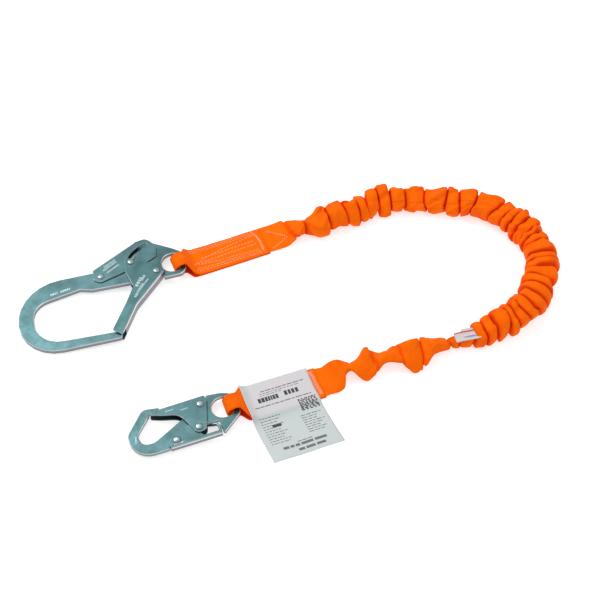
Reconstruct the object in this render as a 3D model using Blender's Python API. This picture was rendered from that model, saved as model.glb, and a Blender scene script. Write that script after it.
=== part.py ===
"""Shock-absorbing lanyard: a gathered web leg between a scaffold hook and a snap hook.

Metres, +Z up, lying on the plane z = 0.  Both hooks are built by one set of functions from
their own outlines: a thick body plate, a gate and a lock lever folded from sheet, three
rivets and two springs.  The leg is a tubular web that holds a shock-absorbing core and two
elastic cords, and each of its ends is a sewn web eye.
"""
import math

import bmesh
import bpy
from mathutils import Matrix, Vector

MM = 0.001

# ---------------------------------------------------------------- driving dimensions
GAP = 0.3 * MM                  # clearance between pieces that touch
SHEET = 1.6 * MM                # steel sheet of gates and levers
BEND_RADIUS = 2.2 * MM          # outer radius of the folds
SHEET_EDGE = 0.35 * MM          # rounding of sheet edges
BODY_EDGE = 0.8 * MM            # rounding of the body plates' edges
PIN_RADIUS = 1.9 * MM           # lock pin shank
PIVOT_RADIUS = 3.1 * MM         # pivot rivet shank
BORE_CLEARANCE = 0.25 * MM      # radial, in every rivet hole
SLOT_CLEARANCE = 0.45 * MM      # each side of a lock pin in its slot
HEAD_RADIUS = 4.4 * MM
HEAD_HEIGHT = 1.7 * MM
FLOOR_CLEARANCE = 0.04          # millimetres under the hooks' feet
ARC_STEP = math.radians(15.0)   # facet angle of rounded outlines

WEB_WIDTH = 44.0 * MM           # flat tubular web
EYE_WIDTH = 22.0 * MM           # the same web, gathered where it goes round the eye bar
WEB_THICKNESS = 1.9 * MM
EYE_RADIUS = 8.1 * MM           # inner height of the web eye over the bar
EYE_REACH = 12.0 * MM           # how far its loop hangs past the bar
EYE_LEAD = 34.0 * MM            # from the bar to where the two layers are sewn together
LEAD_STEPS = 7
LOWER_LAYER = WEB_THICKNESS / 2 + 0.2 * MM    # height of the sewn section's lower layer
TUBE_WALL = 3.5 * MM
CORE_WIDTH, CORE_THICKNESS = 9.0 * MM, 4.0 * MM
ELASTIC_RADIUS = 1.2 * MM

# The plan is laid out round a working centre; LAYOUT_SHIFT moves it so that the origin is
# at the bottom centre of the two hooks, their web eyes and the label.
LAYOUT_SHIFT = Vector((0.1436, 0.0690, 0.0))

# The leg's centreline from the scaffold hook's web eye to the snap hook's: x, y and the
# radius of the gathered web there, in millimetres.  Each point lies one radius up.
LEG_ROUTE = (
    (-36, 90, 7), (-18, 96, 10), (3, 104, 14), (31, 108, 17), (72, 126, 18), (93, 140, 18),
    (118, 146, 19), (158, 148, 20), (188, 147, 20), (212, 145, 21), (236, 140, 21),
    (257, 131, 22), (280, 115, 22), (297, 94, 22), (309, 69, 22), (314, 44, 22),
    (312, 18, 22), (304, -5, 22), (292, -25, 22), (276, -42, 21), (255, -56, 20),
    (234, -66, 18), (212, -76, 15), (188, -82, 14), (168, -88, 15), (148, -98, 17),
    (126, -105, 17), (103, -109, 16), (83, -116, 15), (62, -122, 13), (45, -129, 10),
    (33, -134, 7),
)
LEG_RINGS = 50
TUBE_SIDES = 12

# ---------------------------------------------------------------- the two hooks
# Outlines are corners (x, y, fillet radius) in millimetres in the hook's own frame: the
# gate pivot is the origin, +X runs to the web eye, +Z out of the plate.
SCAFFOLD_HOOK = {
    "name": "scaffold",
    "pivot": (-175.1, 26.3), "yaw": 13.5, "half": 3.3,
    "feet": ((-181.0, 3.3), (-29.6, 9.1)),
    "gate_turn": -42.0, "lever_turn": -8.8,
    "lock_pin": (-29.6, 22.3), "lever_pivot": (-70.0, 10.1), "eye_bar": (34.0, 9.9),
    "body": (
        (-59.5, -89.7, 1.5), (-181.0, -89.7, 50.0), (-181.0, 20.3, 59.0), (-54.0, 20.0, 0.0),
        (-51.1, 14.7, 0.0), (-46.0, 17.4, 0.0), (-47.4, 20.0, 0.0), (-37.2, 20.4, 4.0),
        (-33.0, 28.6, 0.0), (-24.6, 36.1, 0.0), (-15.0, 41.0, 0.0), (-5.4, 43.4, 1.0),
        (-2.0, 52.6, 4.0), (26.0, 34.2, 10.0), (38.0, 24.5, 9.0), (38.0, -9.9, 12.0),
        (7.6, -10.6, 1.2), (8.2, -6.2, 0.0), (9.8, -2.8, 0.8), (9.8, -0.2, 1.0),
        (6.6, -0.2, 1.0), (5.6, -3.1, 2.0), (2.4, -6.0, 2.5), (-3.0, -6.4, 3.0),
        (-22.0, -8.3, 8.0), (-84.0, -6.8, 12.0), (-99.0, -1.9, 7.0), (-161.5, -13.8, 25.0),
        (-161.5, -74.2, 33.0), (-67.5, -78.5, 1.0), (-62.4, -79.8, 0.0), (-57.6, -83.6, 1.0),
    ),
    "eye": ((8.4, -3.6, 13.4), (8.4, 25.5, 13.4), (30.2, 25.5, 6.0), (30.2, -3.6, 5.0)),
    "gate": (
        (-36.2, 31.3, 2.5), (-39.0, 8.0, 12.0), (-32.6, -17.0, 5.0), (-45.5, -40.5, 14.0),
        (-68.6, -78.0, 2.0), (-57.6, -87.0, 1.5), (-54.2, -82.5, 1.0), (-33.3, -46.7, 16.0), (9.3, -2.6, 1.0),
        (5.2, 9.2, 2.5), (-11.0, 17.8, 6.0),
    ),
    "gate_fold": ((9.3, -2.6), (-33.3, -46.7), (-54.2, -82.5), (-50.0, -82.5)),
    "lever": (
        (-78.3, 23.4, 3.0), (-80.6, 7.0, 7.0), (-72.0, 0.6, 6.5), (-10.0, 18.6, 10.0),
        (3.0, 24.6, 6.0), (6.8, 42.0, 9.0), (-5.0, 57.5, 9.0), (-21.0, 54.6, 4.0),
    ),
    "lever_fold": ((-78.3, 23.4), (-21.0, 54.6)),
    "slot_overrun": 9.0,
    "gate_spring": {"anchor": (-13.8, 2.4), "radius": 5.0, "start": 100.0, "end": -70.0,
                    "leg": (-13.1, -22.1), "wire": 0.6},
    "lever_spring": {"fold_end": (-57.1, 31.7), "seat_end": (-48.6, 16.3),
                     "radius": 2.0, "wire": 0.4, "turns": 6},
}
SNAP_HOOK = {
    "name": "snap",
    "pivot": (-111.3, -174.1), "yaw": 19.0, "half": 2.5,
    "feet": ((-60.8, 6.3), (-9.7, 8.3)),
    "gate_turn": 24.0, "lever_turn": 9.0,
    "lock_pin": (-9.7, -29.6), "lever_pivot": (-39.1, -36.7), "eye_bar": (38.6, -11.0),
    "body": (
        (-49.4, -44.8, 1.0), (-92.5, -44.8, 25.0), (-92.5, -10.5, 12.0), (-67.0, 18.4, 9.0),
        (-47.4, 14.9, 1.0), (-47.0, 10.9, 1.0), (-59.9, 10.9, 0.8), (-61.2, 7.2, 1.5),
        (-81.0, -14.5, 9.0), (-78.5, -29.0, 9.0), (-65.0, -30.0, 9.0), (-24.5, -10.0, 8.0),
        (-8.4, 1.0, 3.0), (-6.0, 7.9, 6.0), (8.3, 8.0, 0.8), (9.2, 12.0, 1.2),
        (27.0, 9.6, 12.0), (42.4, 3.6, 13.0), (42.4, -25.0, 9.0), (16.2, -45.4, 1.5),
        (15.2, -41.0, 2.0), (15.0, -26.4, 2.0), (-15.5, -26.4, 2.0), (-16.8, -37.2, 1.0),
        (-18.4, -37.4, 0.0), (-18.4, -31.0, 0.0), (-22.8, -31.0, 0.0), (-22.8, -38.3, 0.0),
        (-49.2, -41.8, 0.8),
    ),
    "eye": ((10.5, -25.0, 13.8), (10.5, 3.0, 13.8), (35.0, 3.0, 7.0), (35.0, -25.0, 7.0)),
    "gate": (
        (-59.0, 10.3, 1.5), (-60.8, 6.0, 2.5), (-48.0, 0.8, 8.0), (-27.5, -5.5, 16.0),
        (-20.5, -22.0, 20.0), (-14.5, -36.5, 6.0), (-2.4, -36.0, 7.0), (8.7, 4.5, 2.0),
        (7.2, 10.2, 2.5),
    ),
    "gate_fold": ((-59.0, 10.3), (4.0, 10.25)),
    "lever": (
        (-48.6, -45.7, 1.0), (13.4, -45.7, 1.0), (14.9, -36.5, 4.0), (10.8, -27.3, 4.0),
        (-8.0, -22.4, 8.0), (-21.0, -21.6, 6.0), (-38.5, -28.0, 7.0), (-48.6, -35.0, 7.0),
    ),
    "lever_fold": ((13.4, -45.7), (-48.6, -45.7)),
    "window": (
        (-13.4, -26.4, 2.5), (-13.4, -33.6, 2.5), (-7.5, -41.0, 2.5), (11.4, -41.0, 2.0),
        (11.4, -30.0, 2.5), (-3.0, -26.6, 2.5),
    ),
    "gate_spring": {"anchor": (-8.5, -11.0), "radius": 4.9, "start": -130.0, "end": 100.0,
                    "leg": (-25.0, 7.75), "wire": 0.55},
    "lever_spring": {"fold_end": (-20.6, -43.9), "seat_end": (-20.6, -31.3),
                     "radius": 1.4, "wire": 0.3, "turns": 6},
}

# Web eyes in their hook's frame: where the sewn section ends (from the eye bar), and the
# control point that bends its plan there.
SCAFFOLD_EYE_END, SCAFFOLD_EYE_BEND = (112.0, 18.3), (24.0, 3.5)
SNAP_EYE_END, SNAP_EYE_BEND = (107.9, 1.7), (32.0, 0.0)

# The label lies over the snap hook's web eye, along it (x) and across it (y).
LABEL_END = 100.9 * MM
LABEL_LIFT = 1.2 * MM           # over the web's upper face
LABEL_THICKNESS = 0.5 * MM
LABEL_REST = 0.5 * MM           # height of the loose end on the floor
LABEL_PATH = (                  # across the web, and the share of the web's height there
    (23.7, 0.25), (24.4, 0.65), (22.9, 1.0), (11.0, 1.0), (0.0, 1.0), (-11.0, 1.0),
    (-21.5, 1.0), (-24.6, 0.72), (-29.0, 0.32), (-37.0, 0.08), (-50.0, 0.0), (-68.0, 0.0),
    (-86.0, 0.0),
)
LABEL_SKEW = 8.0 * MM           # the loose end hangs this far along the web
TAG_START, TAG_END = 0.735, 0.765   # the small tag's place, as fractions of the leg
TAG_THICKNESS = 0.8 * MM
TAG_ARC = math.radians(150.0)

COLOURS = {                     # base colour, metallic, roughness
    "zinc_steel": ((0.24, 0.42, 0.42), 0.9, 0.38),
    "bright_steel": ((0.70, 0.72, 0.72), 1.0, 0.25),
    "spring_steel": ((0.45, 0.47, 0.48), 1.0, 0.35),
    "orange_web": ((1.0, 0.16, 0.01), 0.0, 0.85),
    "core_web": ((0.85, 0.82, 0.74), 0.0, 0.9),
    "elastic": ((0.05, 0.05, 0.05), 0.0, 0.7),
    "label_sheet": ((0.80, 0.81, 0.83), 0.0, 0.6),
}


# ---------------------------------------------------------------- small helpers
def clear_scene():
    for obj in list(bpy.data.objects):
        bpy.data.objects.remove(obj, do_unlink=True)


def material(name):
    """The Principled material of that name, made once."""
    found = bpy.data.materials.get(name)
    if found:
        return found
    colour, metallic, roughness = COLOURS[name]
    made = bpy.data.materials.new(name)
    made.use_nodes = True
    shader = made.node_tree.nodes["Principled BSDF"]
    shader.inputs["Base Color"].default_value = (*colour, 1.0)
    shader.inputs["Metallic"].default_value = metallic
    shader.inputs["Roughness"].default_value = roughness
    return made


def link(name, data, mat, parent=None):
    obj = bpy.data.objects.new(name, data)
    bpy.context.scene.collection.objects.link(obj)
    data.materials.append(material(mat))
    obj.parent = parent
    return obj


def finish_mesh(name, bm, mat, parent=None, sharp=32.0):
    """Turn a bmesh into a named, smooth-shaded object with its creases kept sharp."""
    bmesh.ops.recalc_face_normals(bm, faces=bm.faces)
    if bm.calc_volume(signed=True) < 0.0:
        bmesh.ops.reverse_faces(bm, faces=bm.faces)
    mesh = bpy.data.meshes.new(name)
    bm.to_mesh(mesh)
    bm.free()
    mesh.shade_smooth()
    mesh.set_sharp_from_angle(angle=math.radians(sharp))
    return link(name, mesh, mat, parent)


def guide(obj):
    """Mark a cutter, which shapes other pieces and is none itself."""
    obj.hide_render = True
    obj.display_type = "WIRE"
    return obj


def millimetres(points):
    return [tuple(value * MM for value in point) for point in points]


def turned(point, degrees, centre=(0.0, 0.0)):
    """A plan point turned about a centre."""
    angle = math.radians(degrees)
    x, y = point[0] - centre[0], point[1] - centre[1]
    return (centre[0] + x * math.cos(angle) - y * math.sin(angle),
            centre[1] + x * math.sin(angle) + y * math.cos(angle))


def rounded(corners):
    """A closed outline through (x, y, radius) corners, each rounded by an arc."""
    outline = []
    for index, (x, y, radius) in enumerate(corners):
        corner = Vector((x, y))
        before = Vector(corners[index - 1][:2]) - corner
        after = Vector(corners[(index + 1) % len(corners)][:2]) - corner
        half = before.angle(after) / 2
        turn = math.pi - 2 * half
        if radius <= 0.0 or turn < 0.02:
            outline.append(corner)
            continue
        reach = radius / math.tan(half)
        start, end = before.normalized(), after.normalized()
        centre = corner + (start + end).normalized() * radius / math.sin(half)
        steps = max(1, math.ceil(turn / ARC_STEP))
        first = corner + start * reach - centre
        sign = 1.0 if first.x * (corner + end * reach - centre).y > (
            first.y * (corner + end * reach - centre).x) else -1.0
        for step in range(steps + 1):
            angle = sign * turn * step / steps
            outline.append(centre + Matrix.Rotation(angle, 2) @ first)
    return outline


def circle(centre, radius, sides=16):
    return [Vector((centre[0] + radius * math.cos(math.tau * k / sides),
                    centre[1] + radius * math.sin(math.tau * k / sides)))
            for k in range(sides)]


def wound(outline, counter_clockwise):
    area = sum(a.x * b.y - b.x * a.y for a, b in zip(outline, outline[1:] + outline[:1]))
    return outline if (area > 0) == counter_clockwise else outline[::-1]


def inset(outline, amounts):
    """Each point moved into the material, which lies to the left of the outline."""
    moved = []
    for index, point in enumerate(outline):
        ahead = (outline[(index + 1) % len(outline)] - point).normalized()
        behind = (point - outline[index - 1]).normalized()
        first, second = Vector((-behind.y, behind.x)), Vector((-ahead.y, ahead.x))
        moved.append(point + (first + second) * amounts[index] / (1 + first.dot(second)))
    return moved


def near_line(point, line):
    """Whether a point lies on a polyline of (x, y) points."""
    for start, end in zip(line, line[1:]):
        a, b = Vector(start), Vector(end)
        along = min(max((point - a).dot(b - a) / (b - a).length_squared, 0.0), 1.0)
        if (point - a.lerp(b, along)).length < 0.6 * MM:
            return True
    return False


def plate_mesh(outline, holes, half, edge, fold=(), bend=0.0, rings=2):
    """A flat plate about z = 0 with rounded edges, and a larger rounding along the fold."""
    bm = bmesh.new()
    loops = [wound(outline, True)] + [wound(hole, False) for hole in holes]
    sizes = [[bend if fold and near_line(point, fold) else edge for point in loop]
             for loop in loops]
    levels = [(side, math.radians(90.0 * ring / rings)) for side in (-1, 1)
              for ring in (range(rings, -1, -1) if side < 0 else range(rings + 1))]
    caps = {-1: [], 1: []}
    for loop, amounts in zip(loops, sizes):
        rows = []
        for side, angle in levels:
            shifts = [size * (1 - math.cos(angle)) for size in amounts]
            points = inset(loop, shifts)
            rows.append([bm.verts.new((p.x, p.y, side * (half - size * (1 - math.sin(angle)))))
                         for p, size in zip(points, amounts)])
        for low, high in zip(rows, rows[1:]):
            for index in range(len(loop)):
                following = (index + 1) % len(loop)
                bm.faces.new((low[index], low[following], high[following], high[index]))
        for side, row in ((-1, rows[0]), (1, rows[-1])):
            caps[side] += [bm.edges.get((row[index - 1], row[index]))
                           for index in range(len(row))]
    for edges in caps.values():
        bmesh.ops.triangle_fill(bm, edges=edges, use_beauty=True)
    return bm


def plate(name, outline, holes, half, edge, mat, parent, **folds):
    return finish_mesh(name, plate_mesh(outline, holes, half, edge, **folds), mat, parent)


def lathe(name, profile, mat, parent, place, sides=16):
    """A solid of revolution about z from (radius, height) points, closed on the axis."""
    bm = bmesh.new()
    rows = []
    for radius, height in profile:
        count = sides if radius > 0.0 else 1
        rows.append([bm.verts.new((place[0] + radius * math.cos(math.tau * k / sides),
                                   place[1] + radius * math.sin(math.tau * k / sides), height))
                     for k in range(count)])
    for low, high in zip(rows, rows[1:]):
        for k in range(sides):
            corners = [low[k % len(low)], low[(k + 1) % len(low)],
                       high[(k + 1) % len(high)], high[k % len(high)]]
            bm.faces.new(list(dict.fromkeys(corners)))
    return finish_mesh(name, bm, mat, parent)


def frames_along(points):
    """A moving frame (side, up) at each point of a 3-D path, without twist."""
    frames = []
    side = None
    for index in range(len(points)):
        ahead = points[min(index + 1, len(points) - 1)]
        tangent = (ahead - points[max(index - 1, 0)]).normalized()
        if side is None:
            side = tangent.cross(Vector((0, 0, 1)))
            side = side if side.length > 0.1 else tangent.cross(Vector((0, 1, 0)))
        side = (side - tangent * side.dot(tangent)).normalized()
        frames.append((side, tangent.cross(side)))
    return frames


def wire(name, points, radius, mat, parent, sides=5):
    """A round wire along a 3-D path, with flat ends."""
    bm = bmesh.new()
    rows = []
    for point, (side, up) in zip(points, frames_along(points)):
        rows.append([bm.verts.new(point + side * radius * math.cos(math.tau * k / sides)
                                  + up * radius * math.sin(math.tau * k / sides))
                     for k in range(sides)])
    close_rows(bm, rows)
    return finish_mesh(name, bm, mat, parent, sharp=70.0)


def close_rows(bm, rows):
    """Skin rings of equal count and cap both ends."""
    for low, high in zip(rows, rows[1:]):
        for k in range(len(low)):
            following = (k + 1) % len(low)
            bm.faces.new((low[k], low[following], high[following], high[k]))
    bm.faces.new(rows[0])
    bm.faces.new(rows[-1][::-1])


def smooth_path(points, count):
    """A Catmull-Rom curve through the points, sampled evenly along its length."""
    vectors = [Vector(point) for point in points]
    padded = [2 * vectors[0] - vectors[1]] + vectors + [2 * vectors[-1] - vectors[-2]]
    dense = []
    for a, b, c, d in zip(padded, padded[1:], padded[2:], padded[3:]):
        for step in range(12):
            t = step / 12
            dense.append(0.5 * (2 * b + (c - a) * t + (2 * a - 5 * b + 4 * c - d) * t * t
                                + (3 * b - a - 3 * c + d) * t ** 3))
    dense.append(vectors[-1])
    lengths = [0.0]
    for a, b in zip(dense, dense[1:]):
        lengths.append(lengths[-1] + (b - a).length)
    even, index = [], 0
    for step in range(count):
        wanted = lengths[-1] * step / (count - 1)
        while index < len(dense) - 2 and lengths[index + 1] < wanted:
            index += 1
        share = (wanted - lengths[index]) / (lengths[index + 1] - lengths[index])
        even.append(dense[index].lerp(dense[index + 1], share))
    return even


# ---------------------------------------------------------------- hooks
def hook_matrix(hook):
    """The hook's frame in the world: it lies on its two feet, (x, depth below the middle)."""
    (near, shallow), (far, deep) = hook["feet"]
    pitch = math.asin((deep - shallow) / (far - near))
    height = deep * math.cos(pitch) - far * math.sin(pitch) + FLOOR_CLEARANCE
    place = Vector((*hook["pivot"], height)) * MM + LAYOUT_SHIFT
    yaw = Matrix.Rotation(math.radians(hook["yaw"]), 4, "Z")
    return Matrix.Translation(place) @ yaw @ Matrix.Rotation(-pitch, 4, "Y")


def axis_empty(name, matrix):
    """An empty whose origin and z axis are a joint's."""
    empty = bpy.data.objects.new(name, None)
    empty.empty_display_size = 10 * MM
    empty.matrix_world = matrix
    bpy.context.scene.collection.objects.link(empty)
    return empty


def moved(points, offset):
    return [Vector(point[:2]) - Vector(offset) for point in points]


def layer_heights(hook):
    """Half thickness of the body, over the lever and over the gate."""
    body = hook["half"] * MM
    lever = body + GAP + SHEET
    return body, lever, lever + GAP + SHEET


def lock_paths(hook):
    """The lock pin's way through the lever: squeezed first, and as the joints couple it."""
    pin, pivot = hook["lock_pin"], hook["lever_pivot"]
    gate, lever = hook["gate_turn"], hook["lever_turn"]
    over = math.copysign(hook.get("slot_overrun", 0.0), gate)
    shares = [step / 8 for step in range(9)]
    first = [pin] + [turned(turned(pin, (gate + over) * share), -lever, pivot)
                     for share in shares]
    coupled = [turned(turned(pin, gate * share), -lever * share, pivot) for share in shares]
    return first, coupled + [first[-1]]


def band(left, right, width):
    """An outline round two paths that share their ends, widened on their outer sides."""
    def side(path, sign):
        points = [Vector(point) for point in path]
        shifted = []
        for index, point in enumerate(points):
            ahead = points[min(index + 1, len(points) - 1)] - points[max(index - 1, 0)]
            shifted.append(point + Vector((-ahead.y, ahead.x)).normalized() * width * sign)
        return shifted

    def cap(centre, start, finish):
        centre = Vector(centre)
        arm, last = start - centre, finish - centre
        sweep = (math.atan2(arm.y, arm.x) - math.atan2(last.y, last.x)) % math.tau
        return [centre + Matrix.Rotation(-sweep * k / 6, 2) @ arm for k in range(1, 6)]

    upper, lower = side(left, 1.0), side(right, -1.0)
    return (upper + cap(left[-1], upper[-1], lower[-1]) + lower[::-1]
            + cap(right[0], lower[0], upper[0]))


def fold_cutter(name, line, half, parent):
    """The space inside a folded channel: all that lies more than a sheet from its fold.

    The fold runs with the sheet on its right-hand side."""
    points = [Vector(point) for point in line]
    first = (points[0] - points[1]).normalized()
    last = (points[-1] - points[-2]).normalized()
    points = [points[0] + first * 0.1] + points[1:-1] + [points[-1] + last * 0.1]
    shifted = []
    for index, point in enumerate(points):
        ahead = (points[min(index + 1, len(points) - 1)]
                 - points[max(index - 1, 0)]).normalized()
        shifted.append(point + Vector((ahead.y, -ahead.x)) * SHEET)
    depth, beyond = Vector((-first.y, first.x)) * 0.2, Vector((last.y, -last.x)) * 0.2
    outline = shifted + [shifted[-1] + beyond, shifted[-1] + beyond + depth,
                         shifted[0] + depth]
    return guide(plate(name, outline, [], half, 0.0, "zinc_steel", parent, rings=1))


def channel(name, corners, fold, holes, half, parent, offset):
    """A sheet channel that straddles the body plate, folded along one edge."""
    outline = rounded([(*(Vector(c[:2]) - Vector(offset)), c[2])
                       for c in millimetres(corners)])
    line = [tuple(point) for point in moved(millimetres(fold), offset)]
    obj = plate(name, outline, holes, half, SHEET_EDGE, "zinc_steel", parent,
                fold=line, bend=BEND_RADIUS)
    cutter = fold_cutter(name + "_space", line, half - SHEET, parent)
    cut = obj.modifiers.new("inside of the channel", "BOOLEAN")
    cut.object = cutter
    cut.operation = "DIFFERENCE"
    return obj


def rivet(name, place, shank, reach, parent):
    """A round rivet across the hook with a domed head each side, reach from its middle."""
    low, top = reach + GAP, reach + GAP + HEAD_HEIGHT
    half = [(HEAD_RADIUS, low), (HEAD_RADIUS, low + 0.45 * MM),
            (HEAD_RADIUS * 0.86, low + 1.15 * MM), (HEAD_RADIUS * 0.5, top - 0.08 * MM),
            (0.0, top)]
    profile = ([(radius, -height) for radius, height in half[::-1]] + [(shank, -low)]
               + [(shank, low)] + half)
    return lathe(name, profile, "bright_steel", parent, place)


def torsion_spring(name, spring, body_half, gate_half, parent):
    """A double hairpin spring: a coil on each face of the plate, joined behind the fold."""
    level = (body_half + gate_half - SHEET) / 2
    radius = spring["radius"] * MM
    anchor = Vector((*spring["anchor"], 0)) * MM
    leg = Vector((*spring["leg"], 0)) * MM
    start, end = math.radians(spring["start"]), math.radians(spring["end"])
    steps = 10
    coil = [Vector((math.cos(a), math.sin(a), 0)) * radius
            for a in (start + (end - start) * k / steps for k in range(steps + 1))]
    flat = [anchor.lerp(coil[0], 0.14)] + coil + [leg.lerp(coil[-1], 0.08)]
    lift = Vector((0, 0, level))
    entry = [anchor + lift * 0.35, anchor + lift * 0.8]
    bend = [leg + lift * 0.82, leg + lift * 0.45]
    upper = entry + [point + lift for point in flat] + bend
    lower = [Vector((point.x, point.y, -point.z)) for point in upper[::-1]]
    return wire(name, upper + lower, spring["wire"] * MM, "spring_steel", parent)


def compression_spring(name, spring, offset, parent):
    """A coil spring from the lever's fold to its seat in the body plate."""
    start = Vector((*spring["fold_end"], 0)) * MM - Vector((*offset, 0))
    end = Vector((*spring["seat_end"], 0)) * MM - Vector((*offset, 0))
    along = (end - start).normalized()
    side = along.cross(Vector((0, 0, 1)))
    wire_radius = spring["wire"] * MM
    start, end = start + along * wire_radius, end - along * wire_radius
    count = spring["turns"] * 8
    points = []
    for step in range(count + 1):
        angle = math.tau * spring["turns"] * step / count
        arm = side * math.cos(angle) + Vector((0, 0, 1)) * math.sin(angle)
        points.append(start.lerp(end, step / count) + arm * spring["radius"] * MM)
    return wire(name, points, wire_radius, "spring_steel", parent, sides=4)


def pin_slot(hook):
    """The body's curved slot for the lock pin, round the gate pivot."""
    path = [turned(hook["lock_pin"], hook["gate_turn"] * step / 8) for step in range(-1, 9)]
    width = (PIN_RADIUS + SLOT_CLEARANCE) / MM + 0.1
    return [Vector(p) * MM for p in band(path, path, width)]


def build_hook(hook):
    """All of one hook's pieces, each on the empty of the joint that moves it."""
    frame = hook_matrix(hook)
    lever_at = tuple(value * MM for value in hook["lever_pivot"])
    pin_at = tuple(value * MM for value in hook["lock_pin"])
    bar_at = tuple(value * MM for value in hook["eye_bar"])
    name = hook["name"]
    body_half, lever_half, gate_half = layer_heights(hook)
    pivot_empty = axis_empty(name + "_gate_axis", frame)
    lever_empty = axis_empty(name + "_lever_axis",
                             frame @ Matrix.Translation((*lever_at, 0)))
    tilt = Matrix.Translation((*bar_at, 0)) @ Matrix.Rotation(-math.pi / 2, 4, "X")
    bar_empty = axis_empty(name + "_eye_bar_axis", frame @ tilt)

    bore = PIVOT_RADIUS + BORE_CLEARANCE
    anchor = tuple(value * MM for value in hook["gate_spring"]["anchor"])
    holes = [rounded(millimetres(hook["eye"])), circle((0, 0), bore),
             circle(lever_at, bore),
             circle(anchor, (hook["gate_spring"]["wire"] + 0.4) * MM, sides=8)]
    if name == "scaffold":
        holes.append(pin_slot(hook))
    body = plate(name + "_hook_body", rounded(millimetres(hook["body"])), holes, body_half,
                 BODY_EDGE, "zinc_steel", None, rings=1)
    body.parent = bar_empty
    body.matrix_parent_inverse = bar_empty.matrix_world.inverted()
    body.matrix_basis = frame

    pin_hole = circle(pin_at, PIN_RADIUS + BORE_CLEARANCE, sides=12)
    channel(name + "_gate", hook["gate"], hook["gate_fold"],
            [circle((0, 0), bore), pin_hole], gate_half, pivot_empty, (0, 0))
    first, coupled = lock_paths(hook)
    if "window" in hook:
        opening = rounded(millimetres(hook["window"]))
    else:
        width = (PIN_RADIUS + SLOT_CLEARANCE) / MM
        opening = [Vector(p) * MM for p in band(first, coupled, width)]
    opening = [point - Vector(lever_at) for point in opening]
    channel(name + "_lock_lever", hook["lever"], hook["lever_fold"],
            [circle((0, 0), bore), opening], lever_half, lever_empty, lever_at)

    rivet(name + "_gate_pivot_rivet", (0, 0), PIVOT_RADIUS, gate_half, pivot_empty)
    rivet(name + "_lock_pin", pin_at, PIN_RADIUS, gate_half, pivot_empty)
    rivet(name + "_lever_pivot_rivet", (0, 0), PIVOT_RADIUS, lever_half, lever_empty)
    torsion_spring(name + "_gate_spring", hook["gate_spring"], body_half, gate_half,
                   pivot_empty)
    compression_spring(name + "_lever_spring", hook["lever_spring"], lever_at, lever_empty)
    return frame


# ---------------------------------------------------------------- web
def plan_curve(frame, hook, end, bend):
    """Where a web eye runs: a function from distance past the eye bar to plan and heading."""
    bar = frame @ Vector((hook["eye_bar"][0] * MM, hook["eye_bar"][1] * MM, 0))
    yaw = Matrix.Rotation(math.radians(hook["yaw"]), 3, "Z")
    control = yaw @ Vector((*bend, 0)) * MM
    finish = yaw @ Vector((*end, 0)) * MM
    length = finish.length

    def place(distance):
        if distance <= 0.0:
            heading = control.normalized()
            return bar + heading * distance, heading
        t = distance / length
        point = bar + control * 2 * t * (1 - t) + finish * t * t
        heading = (control * (1 - 2 * t) + finish * t).normalized()
        return point, heading
    return place, length, bar.z


def upper_layer(distance, bar_height):
    """Height of the eye's upper layer: over the bar, then down to the sewn section."""
    sewn = LOWER_LAYER + WEB_THICKNESS + GAP
    crest = bar_height + EYE_RADIUS + WEB_THICKNESS / 2
    t = min(max(1 - distance / EYE_LEAD, 0.0), 1.0)
    return sewn + (crest - sewn) * t * t * (3 - 2 * t)


def eye_profile(length, bar_height):
    """The web eye's side view: along the top layer, round the bar, back along the floor."""
    middle = EYE_RADIUS + WEB_THICKNESS / 2
    drop = bar_height - middle
    sewn = [EYE_LEAD + (length - EYE_LEAD) * step / 4 for step in range(5)]
    lead = [EYE_LEAD * step / LEAD_STEPS for step in range(1, LEAD_STEPS)]
    profile = [(distance, upper_layer(distance, bar_height))
               for distance in sewn[::-1] + lead[::-1]]
    for step in range(13):
        angle = math.radians(90.0 + 15.0 * step)
        profile.append((EYE_REACH * math.cos(angle), bar_height + middle * math.sin(angle)))
    for distance in lead[1::2]:
        profile.append((distance, drop + (LOWER_LAYER - drop) * distance / EYE_LEAD))
    return profile + [(distance, LOWER_LAYER) for distance in sewn]


def ribbon(name, rows, thickness, mat):
    """A closed solid of one thickness about a grid of points."""
    bm = bmesh.new()
    sides = []
    for index, row in enumerate(rows):
        after, before = rows[min(index + 1, len(rows) - 1)], rows[max(index - 1, 0)]
        offsets = []
        for k, point in enumerate(row):
            across = row[min(k + 1, len(row) - 1)] - row[max(k - 1, 0)]
            offsets.append((after[k] - before[k]).cross(across).normalized()
                           * thickness / 2)
        sides.append([bm.verts.new(point + off) for point, off in zip(row, offsets)]
                     + [bm.verts.new(point - off)
                        for point, off in zip(row[::-1], offsets[::-1])])
    close_rows(bm, sides)
    return finish_mesh(name, bm, mat)


def web_eye(name, frame, hook, end, bend):
    """A sewn eye: the web goes round the eye bar and its two layers are sewn flat."""
    place, length, bar_height = plan_curve(frame, hook, end, bend)
    rows = []
    for distance, height in eye_profile(length, bar_height):
        point, heading = place(distance)
        flare = min(max((distance - 6 * MM) / (16 * MM), 0.0), 1.0)
        half = (EYE_WIDTH + (WEB_WIDTH - EYE_WIDTH) * flare * flare * (3 - 2 * flare)) / 2
        side = Vector((-heading.y, heading.x, 0))
        rows.append([Vector((point.x, point.y, height)) + side * half * share
                     for share in (-1.0, -0.5, 0.0, 0.5, 1.0)])
    ribbon(name, rows, WEB_THICKNESS, "orange_web")
    return place


def leg_points():
    """The gathered leg's centreline and radius, evenly spaced."""
    route = [(x, y, radius + 0.3) for x, y, radius in LEG_ROUTE]
    points = smooth_path([Vector(point) * MM for point in route], LEG_RINGS)
    return [(point + LAYOUT_SHIFT, point.z - 0.3 * MM) for point in points]


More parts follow.
